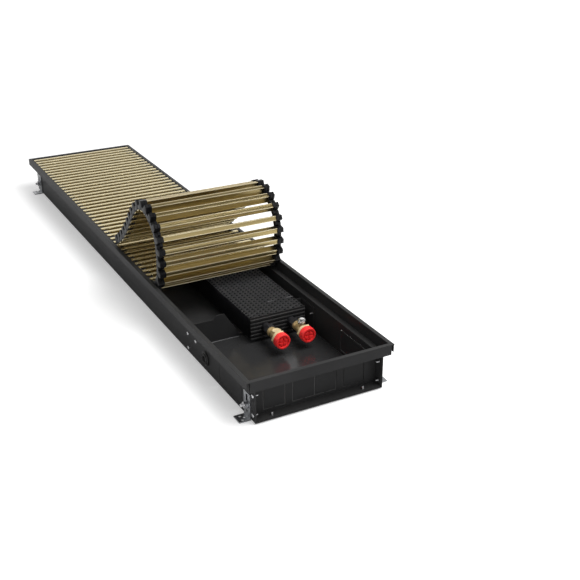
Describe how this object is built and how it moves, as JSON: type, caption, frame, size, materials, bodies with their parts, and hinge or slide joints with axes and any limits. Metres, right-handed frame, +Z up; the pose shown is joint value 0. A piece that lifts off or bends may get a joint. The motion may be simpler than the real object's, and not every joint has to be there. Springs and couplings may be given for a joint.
{
  "type": "trench convector heater",
  "caption": "Floor trench heater: black folded casing on levelling brackets, finned exchanger with capped valve connections and a gold roll-up grille rolled back from one end.",
  "frame": {"origin": "middle of the casing on the plane of the bracket feet", "axes": "+X across the casing, away from the cable entry; +Y along the casing, from the valves to the far end; +Z up"},
  "size_m": [0.268, 1.24, 0.223],
  "materials": {
    "casing_black": "satin black powder coat",
    "exchanger_black": "matt black coating",
    "copper_black": "matt black coating on copper",
    "zinc": "bright zinc plated",
    "brass": "turned",
    "nickel": "nickel plated",
    "grille_gold": "light gold anodised",
    "link_black": "moulded",
    "rubber": "moulded",
    "gasket": "flat",
    "cap_red": "moulded, glossy"
  },
  "bodies": {
    "casing": {"casing_trough": "casing_black", "end_panel_near": "casing_black", "end_panel_far": "casing_black", "end_panel_screws": "zinc", "exchanger_supports": "casing_black", "support_screws": "zinc", "exchanger_fins": "exchanger_black", "exchanger_end_plates": "exchanger_black", "exchanger_tube": "copper_black", "union_nuts": "copper_black", "lockshield_body": "brass", "valve_body": "brass", "cable_grommet": "rubber", "bracket_bolts": "zinc", "bracket_washers": "zinc", "bracket_nuts": "zinc", "fixed_slats": "grille_gold", "fixed_links_left": "link_black", "fixed_links_right": "link_black"},
    "left_gasket": {"cap_gasket_left": "gasket"},
    "left_cap": {"protective_cap_left": "cap_red"},
    "right_gasket": {"cap_gasket_right": "gasket"},
    "right_cap": {"protective_cap_right": "cap_red"},
    "lockshield_top": {"lockshield_cap": "brass"},
    "knob": {"valve_knob": "nickel"},
    "foot_near_left": {"bracket_near_left": "zinc"},
    "foot_near_right": {"bracket_near_right": "zinc"},
    "foot_far_left": {"bracket_far_left": "zinc"},
    "foot_far_right": {"bracket_far_right": "zinc"},
    "grille_link_01": {"grille_link_01": "grille_gold"},
    "grille_link_02": {"grille_link_02": "grille_gold"},
    "grille_link_03": {"grille_link_03": "grille_gold"},
    "grille_link_04": {"grille_link_04": "grille_gold"},
    "grille_link_05": {"grille_link_05": "grille_gold"},
    "grille_link_06": {"grille_link_06": "grille_gold"},
    "grille_link_07": {"grille_link_07": "grille_gold"},
    "grille_link_08": {"grille_link_08": "grille_gold"},
    "grille_link_09": {"grille_link_09": "grille_gold"},
    "grille_link_10": {"grille_link_10": "grille_gold"},
    "grille_link_11": {"grille_link_11": "grille_gold"},
    "grille_link_12": {"grille_link_12": "grille_gold"},
    "grille_link_13": {"grille_link_13": "grille_gold"},
    "grille_link_14": {"grille_link_14": "grille_gold"},
    "grille_link_15": {"grille_link_15": "grille_gold"},
    "grille_link_16": {"grille_link_16": "grille_gold"},
    "grille_link_17": {"grille_link_17": "grille_gold"},
    "grille_link_18": {"grille_link_18": "grille_gold"},
    "grille_link_19": {"grille_link_19": "grille_gold"},
    "grille_link_20": {"grille_link_20": "grille_gold"}
  },
  "joints": [
    {"name": "left_cap_travel", "type": "slide", "parent": "casing", "child": "left_gasket", "axis": [0, -1, 0], "range_m": [0, 0.00541]},
    {"name": "left_cap_turn", "type": "hinge", "parent": "left_gasket", "child": "left_cap", "pos_m": [0.0215, -0.4375, 0.03], "axis": [0, -1, 0], "range_deg": [0, 1080]},
    {"name": "right_cap_travel", "type": "slide", "parent": "casing", "child": "right_gasket", "axis": [0, -1, 0], "range_m": [0, 0.00541]},
    {"name": "right_cap_turn", "type": "hinge", "parent": "right_gasket", "child": "right_cap", "pos_m": [0.0715, -0.4375, 0.03], "axis": [0, -1, 0], "range_deg": [0, 1080]},
    {"name": "lockshield_turn", "type": "hinge", "parent": "casing", "child": "lockshield_top", "pos_m": [0.0215, -0.4226, 0.0395], "axis": [0, 0, 1], "range_deg": [0, 720]},
    {"name": "knob_turn", "type": "hinge", "parent": "casing", "child": "knob", "pos_m": [0.0715, -0.4226, 0.042], "axis": [0, 0, 1], "range_deg": [0, 720]},
    {"name": "level_near_left", "type": "slide", "parent": "casing", "child": "foot_near_left", "axis": [0, 0, -1], "range_m": [0, 0.015]},
    {"name": "level_near_right", "type": "slide", "parent": "casing", "child": "foot_near_right", "axis": [0, 0, -1], "range_m": [0, 0.015]},
    {"name": "level_far_left", "type": "slide", "parent": "casing", "child": "foot_far_left", "axis": [0, 0, -1], "range_m": [0, 0.015]},
    {"name": "level_far_right", "type": "slide", "parent": "casing", "child": "foot_far_right", "axis": [0, 0, -1], "range_m": [0, 0.015]},
    {"name": "unroll_01", "type": "hinge", "parent": "casing", "child": "grille_link_01", "pos_m": [0, -0.21, 0.075], "axis": [1, 0, 0], "range_deg": [0, 26]},
    {"name": "unroll_02", "type": "hinge", "parent": "grille_link_01", "child": "grille_link_02", "pos_m": [0, -0.22798, 0.08377], "axis": [1, 0, 0], "range_deg": [0, 26]},
    {"name": "unroll_03", "type": "hinge", "parent": "grille_link_02", "child": "grille_link_03", "pos_m": [0, -0.24029, 0.09953], "axis": [1, 0, 0], "range_deg": [0, 26]},
    {"name": "unroll_04", "type": "hinge", "parent": "grille_link_03", "child": "grille_link_04", "pos_m": [0, -0.24445, 0.11909], "axis": [1, 0, 0], "range_deg": [0, 9]},
    {"name": "unroll_05", "type": "hinge", "parent": "grille_link_04", "child": "grille_link_05", "pos_m": [0, -0.24549, 0.13906], "axis": [1, 0, 0], "range_deg": [0, 8]},
    {"name": "unroll_06", "type": "hinge", "parent": "grille_link_05", "child": "grille_link_06", "pos_m": [0, -0.24375, 0.15899], "axis": [1, 0, 0], "range_deg": [0, 16]},
    {"name": "unroll_07", "type": "hinge", "parent": "grille_link_06", "child": "grille_link_07", "pos_m": [0, -0.23658, 0.17766], "axis": [1, 0, 0], "range_deg": [0, 23]},
    {"name": "unroll_08", "type": "hinge", "parent": "grille_link_07", "child": "grille_link_08", "pos_m": [0, -0.22269, 0.19205], "axis": [1, 0, 0], "range_deg": [0, 14]},
    {"name": "unroll_09", "type": "hinge", "parent": "grille_link_08", "child": "grille_link_09", "pos_m": [0, -0.20573, 0.20264], "axis": [1, 0, 0], "range_deg": [0, 15]},
    {"name": "unroll_10", "type": "hinge", "parent": "grille_link_09", "child": "grille_link_10", "pos_m": [0, -0.1866, 0.20849], "axis": [1, 0, 0], "range_deg": [0, 22]},
    {"name": "unroll_11", "type": "hinge", "parent": "grille_link_10", "child": "grille_link_11", "pos_m": [0, -0.16668, 0.20675], "axis": [1, 0, 0], "range_deg": [0, 20]},
    {"name": "unroll_12", "type": "hinge", "parent": "grille_link_11", "child": "grille_link_12", "pos_m": [0, -0.14855, 0.1983], "axis": [1, 0, 0], "range_deg": [0, 14]},
    {"name": "unroll_13", "type": "hinge", "parent": "grille_link_12", "child": "grille_link_13", "pos_m": [0, -0.13301, 0.18571], "axis": [1, 0, 0], "range_deg": [0, 7]},
    {"name": "unroll_14", "type": "hinge", "parent": "grille_link_13", "child": "grille_link_14", "pos_m": [0, -0.11912, 0.17132], "axis": [1, 0, 0], "range_deg": [0, 1]},
    {"name": "unroll_15", "type": "hinge", "parent": "grille_link_14", "child": "grille_link_15", "pos_m": [0, -0.10548, 0.1567], "axis": [1, 0, 0], "range_deg": [0, 1]},
    {"name": "unroll_16", "type": "hinge", "parent": "grille_link_15", "child": "grille_link_16", "pos_m": [0, -0.09209, 0.14183], "axis": [1, 0, 0], "range_deg": [-2, 0]},
    {"name": "unroll_17", "type": "hinge", "parent": "grille_link_16", "child": "grille_link_17", "pos_m": [0, -0.0782, 0.12745], "axis": [1, 0, 0], "range_deg": [-4, 0]},
    {"name": "unroll_18", "type": "hinge", "parent": "grille_link_17", "child": "grille_link_18", "pos_m": [0, -0.06334, 0.11406], "axis": [1, 0, 0], "range_deg": [-6, 0]},
    {"name": "unroll_19", "type": "hinge", "parent": "grille_link_18", "child": "grille_link_19", "pos_m": [0, -0.04716, 0.10231], "axis": [1, 0, 0], "range_deg": [-4, 0]},
    {"name": "unroll_20", "type": "hinge", "parent": "grille_link_19", "child": "grille_link_20", "pos_m": [0, -0.0302, 0.09171], "axis": [1, 0, 0], "range_deg": [-2.96, 0]}
  ],
  "couplings": [
    {"joint": "left_cap_travel", "follows": "left_cap_turn", "m_per_rad": 0.00028648},
    {"joint": "right_cap_travel", "follows": "right_cap_turn", "m_per_rad": 0.00028648},
    {"joint": "unroll_02", "follows": "unroll_01", "ratio": 1},
    {"joint": "unroll_03", "follows": "unroll_01", "ratio": 1},
    {"joint": "unroll_04", "follows": "unroll_01", "ratio": 0.34615},
    {"joint": "unroll_05", "follows": "unroll_01", "ratio": 0.30769},
    {"joint": "unroll_06", "follows": "unroll_01", "ratio": 0.61538},
    {"joint": "unroll_07", "follows": "unroll_01", "ratio": 0.88462},
    {"joint": "unroll_08", "follows": "unroll_01", "ratio": 0.53846},
    {"joint": "unroll_09", "follows": "unroll_01", "ratio": 0.57692},
    {"joint": "unroll_10", "follows": "unroll_01", "ratio": 0.84615},
    {"joint": "unroll_11", "follows": "unroll_01", "ratio": 0.76923},
    {"joint": "unroll_12", "follows": "unroll_01", "ratio": 0.53846},
    {"joint": "unroll_13", "follows": "unroll_01", "ratio": 0.26923},
    {"joint": "unroll_14", "follows": "unroll_01", "ratio": 0.038462},
    {"joint": "unroll_15", "follows": "unroll_01", "ratio": 0.038462},
    {"joint": "unroll_16", "follows": "unroll_01", "ratio": -0.076923},
    {"joint": "unroll_17", "follows": "unroll_01", "ratio": -0.15385},
    {"joint": "unroll_18", "follows": "unroll_01", "ratio": -0.23077},
    {"joint": "unroll_19", "follows": "unroll_01", "ratio": -0.15385},
    {"joint": "unroll_20", "follows": "unroll_01", "ratio": -0.11403}
  ]
}
